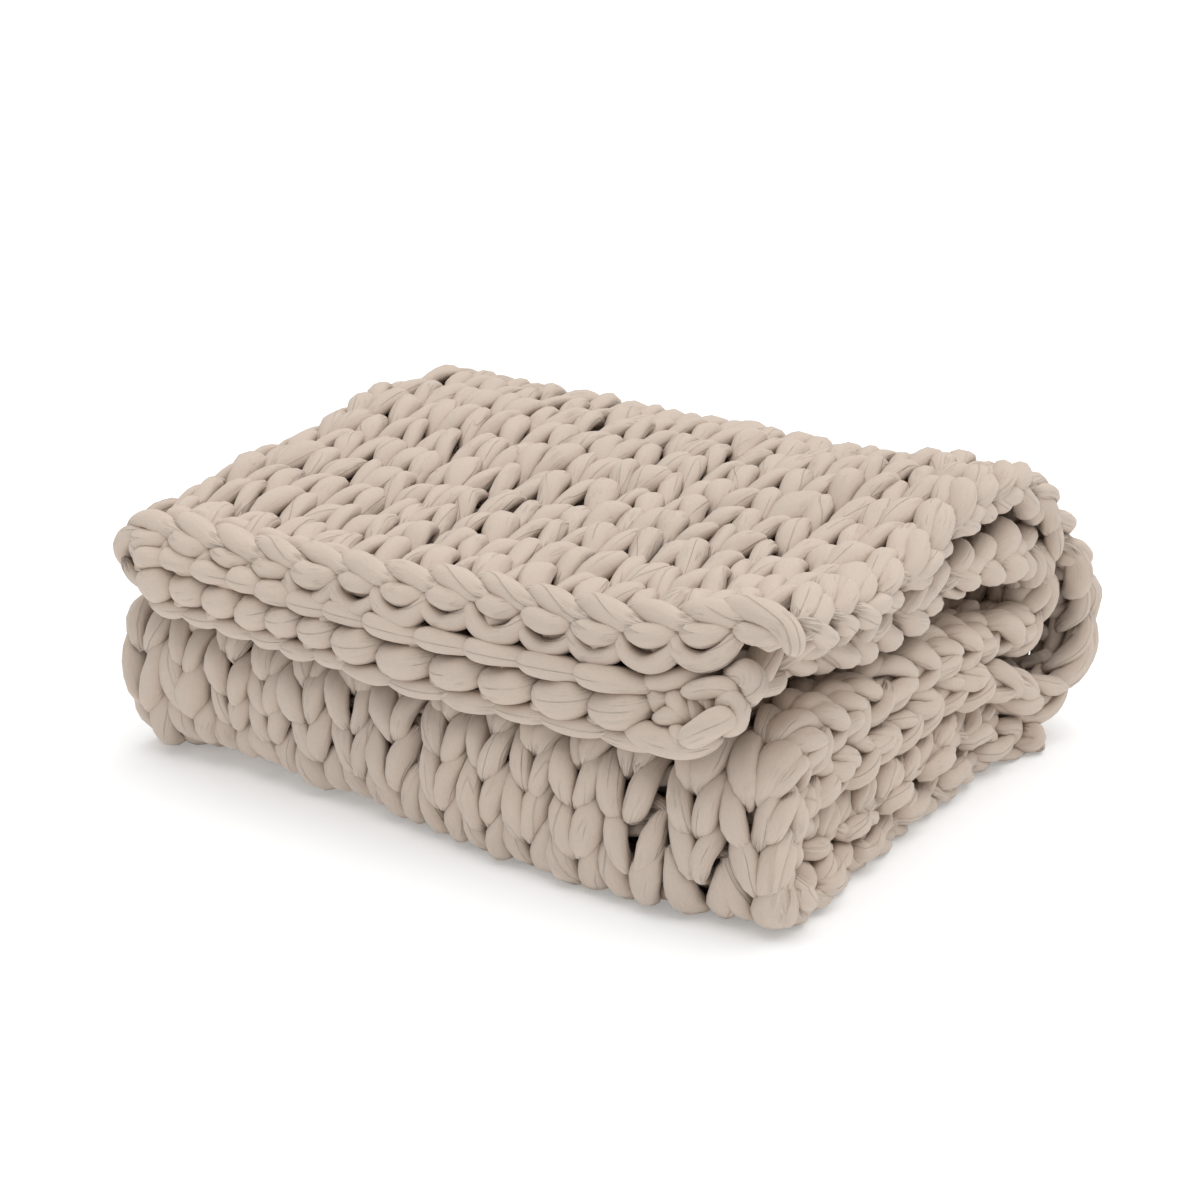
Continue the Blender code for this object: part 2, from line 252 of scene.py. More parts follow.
# ---- The bind-off edge ---------------------------------------------------------------------------
# Each is a piece that repeats along the edge: columns from where it starts, mm past the last course's
# heads, lift out of the knit face, half the width and thickness, in mm, and how far the section is turned,
# in degrees.
CHAIN_LINK = (
    (-0.22, -1.5, 9.0, 3.0, 3.0, 40.0),
    (0.00, -4.0, 14.0, 6.5, 5.5, 40.0),
    (0.26, -3.0, 15.0, 9.0, 7.2, 40.0),
    (0.58, 0.5, 13.0, 10.2, 8.2, 40.0),
    (0.90, 3.0, 10.0, 9.0, 7.2, 40.0),
    (1.16, 4.5, 8.0, 6.5, 5.2, 40.0),
    (1.38, 5.0, 6.5, 2.5, 2.5, 40.0),
)
OUTER_CRESCENT = (
    (-0.08, -2.0, 5.0, 4.5, 4.5, 0.0),
    (-0.02, 5.0, -3.0, 7.5, 7.5, 0.0),
    (0.12, 9.0, -12.5, 8.5, 8.0, 0.0),
    (0.45, 10.5, -18.5, 9.0, 8.0, 0.0),
    (0.78, 10.0, -14.0, 8.5, 8.0, 0.0),
    (0.97, 6.0, -5.0, 7.0, 7.0, 0.0),
    (1.06, -2.0, 2.0, 4.5, 4.5, 0.0),
)
INNER_CRESCENT = (
    (0.06, -6.0, 4.0, 5.0, 5.0, 0.0),
    (0.15, 2.5, 2.0, 9.0, 8.5, 0.0),
    (0.46, 7.0, 0.0, 11.0, 9.5, 0.0),
    (0.78, 4.5, 1.5, 9.5, 8.5, 0.0),
    (0.98, -3.0, 4.0, 5.0, 5.0, 0.0),
)
BEAD = (
    (0.00, -6.0, 4.0, 3.0, 3.0, 0.0),
    (0.04, 4.0, 4.0, 9.5, 10.5, 0.0),
    (0.20, 10.0, 3.5, 14.0, 15.5, 0.0),
    (0.48, 12.0, 1.0, 14.5, 16.5, 0.0),
    (0.74, 10.0, -1.5, 13.0, 15.0, 0.0),
    (0.91, 4.0, -2.5, 8.5, 9.5, 0.0),
    (0.94, -6.0, -2.5, 3.0, 3.0, 0.0),
)
STRAND = (
    (-0.24, -4.0, -19.0, 3.5, 3.5, 0.0),
    (-0.10, 3.0, -22.0, 9.5, 8.5, 0.0),
    (0.24, 4.0, -22.5, 11.0, 9.5, 0.0),
    (0.66, 1.0, -19.5, 9.5, 8.5, 0.0),
    (1.06, -4.0, -15.5, 6.0, 6.0, 0.0),
    (1.34, -8.0, -13.0, 2.5, 2.5, 0.0),
)
RIM_LINK = (
    (-0.30, 17.0, 18.5, 2.0, 2.0, 0.0),
    (-0.04, 19.5, 18.5, 6.5, 6.0, 0.0),
    (0.34, 21.5, 18.0, 9.0, 8.0, 0.0),
    (0.76, 21.5, 17.0, 8.5, 7.5, 0.0),
    (1.10, 19.0, 15.5, 5.5, 5.0, 0.0),
    (1.32, 15.5, 14.0, 2.0, 2.0, 0.0),
)
WEDGE = (
    (0.50, 14.0, 18.0, 3.0, 3.0, 0.0),
    (0.70, 17.0, 14.0, 6.5, 5.0, 0.0),
    (0.92, 16.0, 8.0, 8.0, 6.0, 0.0),
    (1.06, 10.0, 2.0, 7.0, 5.5, 0.0),
    (1.10, 0.0, -4.0, 4.0, 4.0, 0.0),
)
LOWER_STITCHES = (13.85, 13.10, 12.34, 11.50, 10.59, 9.86, 9.09, 8.28, 7.25, 6.06, 4.96, 3.84, 2.65, 1.50)
RIM_SHIFT = 0.3                         # how far the rim's pieces start before the stitch, in columns
# Where the links of the upper layer's chain start. The first have no crescents.
CHAIN_PITCH = 0.957
CHAIN_LINKS = 16.41 + CHAIN_PITCH * np.arange(-4, 11)
BARE_LINKS = 2
EDGE_SHIFT_MM, EDGE_SIZE = 0.8, 0.05    # what the pieces differ by: mm and share of the size
# Single pieces at the ends of the edges: columns, then as above.
HOOK = (
    (26.58, -7.0, 18.5, 2.0, 2.0, 40.0),
    (26.80, -4.5, 17.5, 8.0, 6.5, 40.0),
    (27.15, 0.0, 15.5, 10.5, 8.0, 30.0),
    (27.52, 5.0, 11.5, 11.0, 8.5, 15.0),
    (27.84, 9.0, 4.0, 10.5, 9.0, 0.0),
    (27.98, 11.0, -6.0, 10.0, 9.0, 0.0),
    (27.92, 10.0, -14.0, 6.5, 6.5, 0.0),
)
# The knot at the lower layer's corner. Its points were picked in an enlarged piece of the
# photograph: pixels to the right and down in that piece, mm towards the camera, half the width and
# thickness in mm.
KNOT_VIEW_AT, KNOT_VIEW_ZOOM = (620.0, 640.0), (5.706, 5.714)
KNOT_PLACES = (
    # the edge's last link, the corner that it turns round, and the long loop below
    ((70, 300, 0, 4, 4), (180, 280, 9, 8.5, 8), (300, 245, 10, 9, 8.5), (420, 215, 9, 9, 8),
     (530, 208, 5, 7.5, 7), (610, 205, -4, 4, 4)),
    ((630, 215, -2, 5, 5), (680, 205, 8, 9.5, 9), (740, 225, 11, 10.5, 10), (762, 285, 11, 10, 9.5),
     (750, 345, 8, 8, 7.5), (735, 395, -2, 4, 4)),
    ((30, 550, -6, 4, 4), (120, 575, 4, 9, 8.5), (250, 605, 8, 10.5, 9.5), (380, 620, 9, 10.5, 9.5),
     (500, 605, 8, 9.5, 9), (590, 560, -2, 5, 5)),
    # the loop round the right, and the thick one in front of it
    ((575, 415, 4, 4.5, 4.5), (610, 385, 13, 7, 7), (665, 385, 14, 7.5, 7.5), (690, 450, 12, 7.5, 7.5),
     (660, 530, 9, 7.5, 7.5), (590, 575, 0, 5, 5)),
    ((380, 610, 6, 5, 5), (415, 580, 15, 9, 9), (490, 540, 19, 10.5, 10), (565, 500, 19, 10.5, 10),
     (615, 480, 15, 9.5, 9), (650, 485, 5, 5, 5)),
    # the loop across the top, and the ends that come through between
    ((385, 315, 0, 4, 4), (420, 300, 12, 7, 6.5), (500, 285, 15, 8, 7.5), (590, 283, 15, 8, 7.5),
     (655, 305, 13, 7.5, 7), (695, 360, 8, 6, 6), (710, 410, -2, 3.5, 3.5)),
    ((425, 300, -2, 3.5, 3.5), (435, 350, 7, 5.5, 5.5), (447, 410, 9, 6, 6), (465, 470, 7, 5, 5),
     (480, 510, -1, 3.5, 3.5)),
    ((490, 310, -2, 3.5, 3.5), (512, 355, 7, 5.5, 5.5), (535, 405, 8, 6, 6), (530, 460, 3, 3.5, 3.5)),
    ((300, 290, -3, 4, 4), (325, 340, 7, 7, 7), (355, 400, 10, 7.5, 7.5), (405, 455, 8, 6, 6),
     (450, 490, -1, 3.5, 3.5)),
    ((205, 500, -1, 3.5, 3.5), (245, 480, 8, 6.5, 6.5), (305, 458, 11, 7.5, 7), (370, 462, 9, 6.5, 6.5),
     (430, 500, 0, 3.5, 3.5)),
    ((330, 500, 2, 3.5, 3.5), (340, 540, 12, 6, 6), (370, 582, 13, 6.5, 6), (440, 600, 4, 3.5, 3.5)),
)
# From there to an edge's numbers: the pixel where the side edge meets the last heads; mm past them and mm of
# lift for a mm towards the camera and a pixel down; pixels to the right for a mm of each; a column's pixels.
KNOT_ZERO = (738.6, 710.5)
KNOT_PAST, KNOT_LIFT = (0.898, 0.511), (-0.8, 0.454)
KNOT_PAST_PIXELS, KNOT_LIFT_PIXELS, COLUMN_PIXELS = -0.76, 0.39, 52.6
# It fills the upper layer's corner below the hook.
CORNER_FILL = (
    (26.75, -16.0, -4.0, 4.0, 4.0, 0.0),
    (27.05, -16.0, -3.0, 9.0, 8.0, 0.0),
    (27.50, -13.0, -4.0, 11.0, 9.0, 0.0),
    (27.85, -17.0, -5.0, 10.5, 8.5, 0.0),
    (27.90, -30.0, -6.0, 8.5, 8.0, 0.0),
    (27.75, -42.0, -8.0, 4.0, 4.0, 0.0),
)
# The purl side behind the lower layer's edge, in the gap below the upper one.
PURL_STRAND = (
    (-0.16, -22.0, -22.0, 4.0, 4.0, 0.0),
    (0.00, -20.0, -25.5, 8.5, 8.0, 0.0),
    (0.30, -19.0, -28.5, 10.5, 9.5, 0.0),
    (0.66, -19.0, -29.0, 10.0, 9.0, 0.0),
    (0.98, -21.0, -27.0, 7.0, 7.0, 0.0),
    (1.14, -24.0, -24.0, 3.5, 3.5, 0.0),
)
UNDER_STRAND = (
    (0.30, -44.0, -20.0, 4.0, 4.0, 0.0),
    (0.48, -41.0, -25.5, 9.0, 8.5, 0.0),
    (0.78, -40.0, -28.5, 11.0, 10.0, 0.0),
    (1.10, -40.0, -28.0, 10.5, 9.5, 0.0),
    (1.40, -42.0, -25.0, 7.5, 7.5, 0.0),
    (1.56, -45.0, -21.0, 3.5, 3.5, 0.0),
)
CAST_ON_LINK = (
    (-0.22, -1.0, 3.0, 5.0, 5.0, 0.0),
    (0.04, 4.0, 2.0, 7.0, 8.0, 0.0),
    (0.42, 6.0, 0.0, 9.0, 11.0, 0.0),
    (0.82, 4.0, -2.0, 7.5, 9.0, 0.0),
    (1.18, -1.0, -3.0, 5.0, 5.0, 0.0),
)
CAST_ON_FROM, CAST_ON_TO = 0.1, COLUMNS - 0.9
# One at each end of the cast-on edge: columns, courses, then as in a stitch.
CAST_ON_CORNERS = (
    ((27.30, 0.60, 2.0, 5.0, 5.0, 0.0), (27.66, 0.34, 2.5, 10.0, 9.0, 0.0),
     (27.92, 0.14, -2.0, 12.0, 10.0, 0.0), (28.00, 0.08, -11.0, 12.0, 11.0, 0.0),
     (27.90, 0.18, -19.0, 10.0, 9.0, 0.0), (27.70, 0.40, -23.0, 6.0, 6.0, 0.0)),
    ((0.70, 0.50, 2.0, 5.0, 5.0, 0.0), (0.34, 0.30, 1.0, 10.0, 9.0, 0.0),
     (0.10, 0.14, -2.0, 11.0, 10.0, 0.0), (0.06, 0.10, -9.0, 11.0, 10.0, 0.0),
     (0.24, 0.30, -14.0, 7.0, 7.0, 0.0)),
)
# The middle of the lower layer's bind-off edge hangs down and its ends ride up, and the upper layer's
# droops at the fold: x, and the rise there, in mm.
LOWER_BOW = ((-0.34, 18.0), (-0.27, 19.0), (-0.20, 17.0), (-0.10, 11.0), (0.00, 5.0), (0.10, 6.0),
             (0.18, 8.0), (0.23, 10.0), (0.26, 14.0), (0.30, 24.0))
UPPER_BOW = ((-0.34, -26.0), (-0.29, -18.0), (-0.245, -6.0), (-0.20, -6.0), (-0.158, -9.0),
             (-0.075, -6.0), (-0.015, -4.0), (0.043, 0.0), (0.15, -1.0), (0.185, 1.0), (0.235, 7.0),
             (0.295, 15.0), (0.33, 21.0))
BOW_COURSES = 4.0                       # over how many of the last courses that grows
TURN_COLUMNS = 1.5                      # and how far on each side of the fold one turns into the other

# ---- Waviness of the sheet -----------------------------------------------------------------------
# Across the columns, along the courses and out of the face: radians a column, radians a course, phase.
WAVES = (
    ((0.83, 0.37, 0.4), (-0.41, 0.71, 2.1), (1.27, -0.52, 4.4)),
    ((0.52, 0.61, 1.3), (1.13, -0.34, 3.9), (-0.77, 1.02, 5.2)),
    ((0.71, 0.45, 5.6), (-0.58, 0.93, 0.9), (1.61, 0.66, 2.7)),
)
WAVE_COLUMNS, WAVE_COURSES, WAVE_LIFT = 0.09, 0.13, 0.0024
WAVES_END, WAVES_FADE = COURSES + 0.2, 3.0      # the course where they have died out, and over how many
# Where the sheet stands further out: the middle's column and course, its size in each, and how far.
SLACK = (
    (14.0, 12.3, 0.9, 2.6, 0.012),   # the shared fold at the front, low down
    (2.5, 11.5, 5.5, 1.5, 0.014),    # the front's foot, on the right
    (11.6, 11.0, 2.2, 1.4, -0.006),  # and less on the left
    (16.3, 29.2, 3.0, 2.5, 0.010),   # the left of the top at the back
    (28.5, 23.4, 4.5, 2.2, 0.023),   # under the loose fold at the back, at the side edge
    (28.5, 27.3, 7.0, 2.2, -0.009),  # and further in behind it
)
FLOOR_SOFT = 0.005                      # what would lie lower than this is flattened


def ease(value, low, high):
    """0 below low, 1 above high, and a smooth rise between them."""
    share = np.clip((value - low) / (high - low), 0.0, 1.0)
    return share * share * (3.0 - 2.0 * share)


def unit(vectors):
    return vectors / np.maximum(np.linalg.norm(vectors, axis=-1, keepdims=True), 1e-12)


def smooth_through(knots, values, at):
    """A smooth curve through values at knots that never swings past them, read at each place."""
    spans, rises = np.diff(knots), np.diff(values) / np.diff(knots)
    before, after = rises[:-1], rises[1:]
    weigh_before, weigh_after = 2 * spans[1:] + spans[:-1], spans[1:] + 2 * spans[:-1]
    same_way = before * after > 0
    slopes = np.concatenate([rises[:1], np.zeros(len(before)), rises[-1:]])
    slopes[1:-1][same_way] = ((weigh_before + weigh_after)[same_way] / (
        weigh_before[same_way] / before[same_way] + weigh_after[same_way] / after[same_way]))
    left = np.clip(np.searchsorted(knots, at, side="right") - 1, 0, len(knots) - 2)
    span = knots[left + 1] - knots[left]
    t = (at - knots[left]) / span
    keep, leave = (1 + 2 * t) * (1 - t) ** 2, t * (1 - t) ** 2
    reach, arrive = t * t * (3 - 2 * t), t * t * (t - 1)
    return (keep * values[left] + leave * span * slopes[left]
            + reach * values[left + 1] + arrive * span * slopes[left + 1])


def unevenness(points):
    """Moves points from the even section to where the uneven stack has them."""
    x, y, z = points[..., 0], points[..., 1], points[..., 2]
    height = z / TOP
    ends = ease(np.abs(x), END_FROM, END_TO)
    corner = ease(x, CORNER_FROM, END_TO) * np.exp(-(y / CORNER_DEPTH) ** 2)
    bulge = np.exp(-((x - BULGE_X) / BULGE_WIDTH) ** 2) * (1 - ease(y, 0.0, BULGE_DEPTH))
    left = ease(-x, 0.0, END_TO)
    return np.stack([
        x - SKEW * left * y / DEPTH,
        y - FRONT_BULGE * bulge * (1 - ease(z, BULGE_FULL_BELOW, BULGE_GONE_ABOVE)),
        z + height * height * (END_LIFT * ends + CORNER_LIFT * corner)], -1)


class Sheet:
    """The folded sheet's mid-surface, read at fabric coordinates."""

    PAST = 0.08             # how far the surface goes on past the cast-on and bind-off edges
    FINE = 0.0025           # distance between its rows
    END_ROWS = 4            # how many rows give the direction in which it goes on
    PAST_COLUMNS = 1.5
    COLUMN_STEP = 0.1

    def __init__(self):
        table = dict(zip(SECTION_COLUMNS, np.array(SECTION, float).T))
        steps = sum(np.hypot(np.diff(table[side + "_y"]), np.diff(table[side + "_z"])) for side in LAYERS)
        knots = np.concatenate([[0.0], np.cumsum(steps / 2)])
        inside = np.linspace(0.0, knots[-1], int(knots[-1] / self.FINE) + 1)
        step = inside[1]
        past = int(self.PAST / step)
        rows = {}
        for name in SECTION_COLUMNS:
            line = smooth_through(knots, table[name], inside)
            ends = self.END_ROWS
            before = line[0] + (line[0] - line[ends]) / ends * np.arange(past, 0, -1)
            after = line[-1] + (line[-1] - line[-1 - ends]) / ends * np.arange(1, past + 1)
            rows[name] = np.concatenate([before, line, after])
        self.places = np.concatenate([
            -step * np.arange(past, 0, -1), inside, inside[-1] + step * np.arange(1, past + 1)])
        self.columns = np.arange(-self.PAST_COLUMNS, COLUMNS + self.PAST_COLUMNS + 1e-6, self.COLUMN_STEP)
        even = self.mid_surface(rows)
        grid = unevenness(even) - (ORIGIN_X, ORIGIN_Y, 0.0)
        out = unit(np.cross(np.gradient(grid, axis=0), np.gradient(grid, axis=1)))
        self.grid = np.concatenate([grid, out], 2)
        self.course_places = self.spacing(rows, knots)
        self.pitch = {side: np.gradient(self.places, levels) for side, levels in self.course_places.items()}

    def mid_surface(self, rows):
        near, far = (np.stack([rows[side + "_y"], rows[side + "_z"]], 1)[:, None] for side in LAYERS)
        radius = np.linalg.norm(near - far, axis=2) / 2
        half_turn = np.pi * radius / 2 / COLUMN
        from_fold = self.columns[None, :] - COLUMNS / 2
        angle = np.clip(from_fold / half_turn, -1.0, 1.0) * np.pi / 2
        flat = np.maximum(np.abs(from_fold) - half_turn, 0.0) / (COLUMNS / 2 - half_turn)
        right = np.where(from_fold > 0, rows["near_x"][:, None], rows["far_x"][:, None])
        turn_x = LEFT_FOLD_X + radius
        x = turn_x - radius * np.cos(angle) + flat * (right - turn_x)
        yz = (near + far) / 2 + (near - far) / 2 * np.sin(angle)[..., None]
        return np.concatenate([x[..., None], yz], 2)

    def spacing(self, rows, knots):
        """For each layer, the course that lies at each row of the surface."""
        levels = {}
        pitches = np.array(COURSE_PITCHES, float)
        at = knots[pitches[:, 0].astype(int)]
        for side, pitch in zip(LAYERS, pitches[:, 1:].T):
            arc = np.hypot(np.gradient(rows[side + "_y"]), np.gradient(rows[side + "_z"]))
            count = np.cumsum(arc / (np.interp(self.places, at, pitch) / 1000))
            count -= np.interp(0.0, self.places, count)
            total = np.interp(knots[-1], self.places, count)
            levels[side] = count * LAST_HEADS / total
        return levels

    def blended(self, columns, courses, values):
        """The lower layer's values, turning into the upper one's across the shared fold."""
        near, far = (np.interp(courses, self.course_places[side], values[side]) for side in LAYERS)
        return far + (near - far) * ease(columns, *BLEND_COLUMNS)

    def read(self, columns, courses):
        """Point and outward direction at each pair of fabric coordinates."""
        place = self.blended(columns, courses, dict.fromkeys(LAYERS, self.places))
        row = (place - self.places[0]) / (self.places[1] - self.places[0])
        line = (columns - self.columns[0]) / self.COLUMN_STEP
        row = np.clip(row, 0, len(self.places) - 1.001)
        line = np.clip(line, 0, len(self.columns) - 1.001)
        r, c = row.astype(int), line.astype(int)
        fr, fc = (row - r)[..., None], (line - c)[..., None]
        mixed = ((self.grid[r, c] * (1 - fr) + self.grid[r + 1, c] * fr) * (1 - fc)
                 + (self.grid[r, c + 1] * (1 - fr) + self.grid[r + 1, c + 1] * fr) * fc)
        return mixed[..., :3], unit(mixed[..., 3:])

    def tightness(self, columns, courses):
        """0 where the courses are loose, 1 where they are close together."""
        pitch = self.blended(columns, courses, self.pitch)
        return 1 - np.clip((pitch - TIGHT_PITCH) / (LOOSE_PITCH - TIGHT_PITCH), -PAST_TIGHT, 1.0)

    def squeeze(self, columns, courses):
        """How much smaller the yarn is where a fold's inside presses the courses together."""
        return np.clip(self.blended(columns, courses, self.pitch) / SQUEEZED_PITCH, MOST_SQUEEZED, 1.0)

    def world(self, columns, courses, lift):
        """Point and outward direction, with the hand-made sheet's waviness."""
        inner = ease(WAVES_END - courses, 0.0, WAVES_FADE)
        across, along, rise = (waves(columns, courses, row) for row in WAVES)
        point, out = self.read(columns + WAVE_COLUMNS * across * inner,
                               courses + WAVE_COURSES * along * inner)
        slack = sum(far * np.exp(-((columns - column) / width) ** 2 - ((courses - course) / depth) ** 2)
                    for column, course, width, depth, far in SLACK)
        point = point + out * (lift + WAVE_LIFT * rise * inner + slack)[..., None]
        lower = 1 - ease(columns, COLUMNS / 2 - TURN_COLUMNS, COLUMNS / 2 + TURN_COLUMNS)
        edge = ease(courses, COURSES - BOW_COURSES, LAST_HEADS)
        below, above = (np.interp(point[..., 0], *np.array(bow).T) for bow in (LOWER_BOW, UPPER_BOW))
        point[..., 2] += (below * lower + above * (1 - lower)) / 1000 * edge
        return point, out


def waves(columns, courses, row):
    """A smooth uneven field over the fabric, between about -1 and 1."""
    return sum(np.sin(a * columns + b * courses + c) for a, b, c in row) / len(row) ** 0.5


def over_floor(points):
    """Flattens softly what would go through the floor."""
    z = points[..., 2]
    low = z < FLOOR_SOFT
    z[low] = FLOOR_SOFT * np.exp((z[low] - FLOOR_SOFT) / FLOOR_SOFT)
    return points


def along_curve(control, steps):
    """A smooth line through the rows of control, with that many steps from each row to the next."""
    padded = np.concatenate([2 * control[:1] - control[1:2], control, 2 * control[-1:] - control[-2:-1]])
    steps = np.broadcast_to(steps, len(control) - 1)
    row = np.repeat(np.arange(len(steps)), steps)
    t = (np.arange(len(row)) - (np.cumsum(steps) - steps)[row])[:, None] / steps[row][:, None]
    p0, p1, p2, p3 = padded[row], padded[row + 1], padded[row + 2], padded[row + 3]
    curve = 0.5 * (2 * p1 + (p2 - p0) * t + (2 * p0 - 5 * p1 + 4 * p2 - p3) * t ** 2
                   + (3 * p1 - p0 - 3 * p2 + p3) * t ** 3)
    return np.concatenate([curve, control[-1:]])


def bounded(rng, size, most):
    """Normally distributed numbers, none further from 0 than most; one number if size is None."""
    return np.clip(rng.normal(size=size), -most, most)


def stitch_rows(table):
    """A whole stitch's rows, without the last, which is the next stitch's first."""
    half = np.array(table, float)
    other = half[-2:0:-1] * (-1, 1, 1, 1, 1, 1)
    return np.concatenate([half, other])


def course_controls(sheet, rng):
    """Every course's control rows in fabric coordinates: (courses, rows, numbers)."""
    loose, firm = stitch_rows(STITCH_LOOSE), stitch_rows(STITCH_TIGHT)
    count = len(loose)
    columns = np.broadcast_to(np.arange(COLUMNS)[None, :] + 0.5, (COURSES, COLUMNS))
    levels = np.broadcast_to(np.arange(COURSES)[:, None] + 0.5, (COURSES, COLUMNS))
    tight = sheet.tightness(columns, levels)[..., None, None]
    rows = loose + (firm - loose) * tight
    rows[..., 2:5] *= sheet.squeeze(columns, levels)[..., None, None]
    place = np.arange(count)
    legs = [np.exp(-((from_end - LEG_ROW) / LEG_ROWS) ** 2) for from_end in (place, count - place)]
    head = np.exp(-((place - len(STITCH_LOOSE) + 1) / HEAD_ROWS) ** 2)

    def normal(size=(COURSES, COLUMNS, 1)):
        return bounded(rng, size, MOST_STITCH)

    rows[..., 0] += SWAY * normal()
    rows[..., 1] += WHOLE_SHARE * SLIDE * normal()
    for weight in legs:
        size, out = normal(), normal()
        rows[..., 0] += WHOLE_SHARE * SWAY * normal() * weight
        rows[..., 1] += SLIDE * normal() * weight
        rows[..., 2] += RISE * out * weight
        rows[..., 3] *= 1 + SIZE * size * weight
        rows[..., 4] *= 1 + THICK_SHARE * SIZE * size * weight
        rows[..., 5] += LEAN * normal() * weight
    rows[..., 1] += HEAD_SLIDE * normal() * head
    rows[..., 2] += HEAD_RISE * normal() * head
    rows[..., 0] += np.arange(COLUMNS)[None, :, None] + 0.5
    rows[..., 1] += np.arange(COURSES)[:, None, None] + 0.5
    outline = OUTLINE * normal((COURSES, COLUMNS, count, OUTLINE_TERMS))
    rows = np.concatenate([rows, outline], -1)
    return rows.reshape(COURSES, COLUMNS * count, -1)


def yarn_controls(sheet, rng):
    """The whole yarn, course after course, turning at the side edges, and the steps between its rows."""
    courses = course_controls(sheet, rng)
    half = list(HALF_STEPS)
    forward_steps = (half + half[::-1]) * COLUMNS
    line, steps = [], []
    for number, course in enumerate(courses):
        level = number + 0.5
        end = course[:1].copy()
        end[0, :2] = COLUMNS, level + STITCH_LOOSE[0][1]
        course = np.concatenate([course, end])
        forward = number % 2 == 0
        line.append(course if forward else course[::-1])
        steps += forward_steps
        if number < COURSES - 1:
            side = COLUMNS if forward else 0
            way = 1 if forward else -1
            turn = np.zeros((len(EDGE_TURN), course.shape[1]))
            turn[:, :5] = EDGE_TURN
            turn[:, 0] = side + way * turn[:, 0]
            turn[:, 1] += level
            line.append(turn)
            steps += [EDGE_TURN_STEPS] * (len(EDGE_TURN) + 1)
    line = np.concatenate(line)
    line[[0, -1], 3:5] = YARN_END_MM
    return line, np.array(steps)


def tube_rings(sheet, line, sides, steady=False):
    """Points of a tube along a line in fabric coordinates, and for each its place round and along the yarn
    (in metres) and how pinched the yarn is there. A steady tube may run straight in or out of the sheet."""
    centre, out = sheet.world(line[:, 0], line[:, 1], line[:, 2] / 1000)
    heading = unit(np.gradient(centre, axis=0))
    across = np.cross(out, heading)
    if steady:
        last = unit(across[len(across) // 2])
        for way in (range(len(across) // 2, len(across)), range(len(across) // 2, -1, -1)):
            before = last
            for k in way:
                lean = np.linalg.norm(across[k])
                trust = float(ease(lean, STEEP, LEVEL))
                aligned = unit(across[k]) * np.sign(across[k] @ before)
                mixed = aligned * trust + before * (1 - trust)
                before = across[k] = unit(mixed - heading[k] * (mixed @ heading[k]))
    across = unit(across)
    up = np.cross(heading, across)
    turn = np.radians(line[:, 5:6])
    across, up = (across * np.cos(turn) + up * np.sin(turn), up * np.cos(turn) - across * np.sin(turn))
    angle = np.arange(sides) / sides * 2 * np.pi
    wide, thick = line[:, 3, None, None] / 1000, line[:, 4, None, None] / 1000
    shape = 1 + sum(line[:, 6 + k, None] * term for k, term in enumerate(
        (np.cos(2 * angle), np.sin(2 * angle), np.cos(3 * angle), np.sin(3 * angle))))
    rings = (centre[:, None] + across[:, None] * wide * (shape * np.cos(angle))[..., None]
             + up[:, None] * thick * (shape * np.sin(angle))[..., None])
    length = np.concatenate([[0.0], np.cumsum(np.linalg.norm(np.diff(centre, axis=0), axis=1))])
    yarn = np.empty(rings.shape)
    yarn[..., 0], yarn[..., 1] = MEAN_RADIUS * np.cos(angle), MEAN_RADIUS * np.sin(angle)
    yarn[..., 2] = length[:, None]
    size = (line[:, 3] + line[:, 4]) / 2
    limits = np.array(PINCHED_SHARE) * size.max() if steady else PINCHED_MM
    pinch = np.repeat(1 - ease(size, *limits), sides)
    return over_floor(rings), yarn, pinch


def joined_tubes(name, tubes):
    """One mesh of several closed tubes, with what the material reads at each point."""
    points, yarns, pinches, faces, start = [], [], [], [], 0
    for rings, yarn, pinch in tubes:
        count, sides = rings.shape[:2]
        ring, side = np.meshgrid(np.arange(count - 1), np.arange(sides), indexing="ij")
        after = (side + 1) % sides
        quads = np.stack([ring * sides + side, ring * sides + after,
                          (ring + 1) * sides + after, (ring + 1) * sides + side], -1).reshape(-1, 4)
        faces += (quads + start).tolist()
        faces += [[start + s for s in reversed(range(sides))],
                  [start + (count - 1) * sides + s for s in range(sides)]]
        points.append(rings.reshape(-1, 3))
        yarns.append(yarn.reshape(-1, 3))
        pinches.append(pinch)
        start += count * sides
    mesh = bpy.data.meshes.new(name)
    mesh.from_pydata(np.concatenate(points).tolist(), [], faces)
    for told, kind, field, values in (("yarn", "FLOAT_VECTOR", "vector", yarns),
                                      ("pinch", "FLOAT", "value", pinches)):
        attribute = mesh.attributes.new(told, kind, "POINT")
        attribute.data.foreach_set(field, np.concatenate(values).ravel())
    mesh.update()
    mesh.shade_smooth()
    return mesh


def set_inputs(node, values):
    """Sets the named inputs of a node."""
    for name, value in values.items():
        node.inputs[name].default_value = value


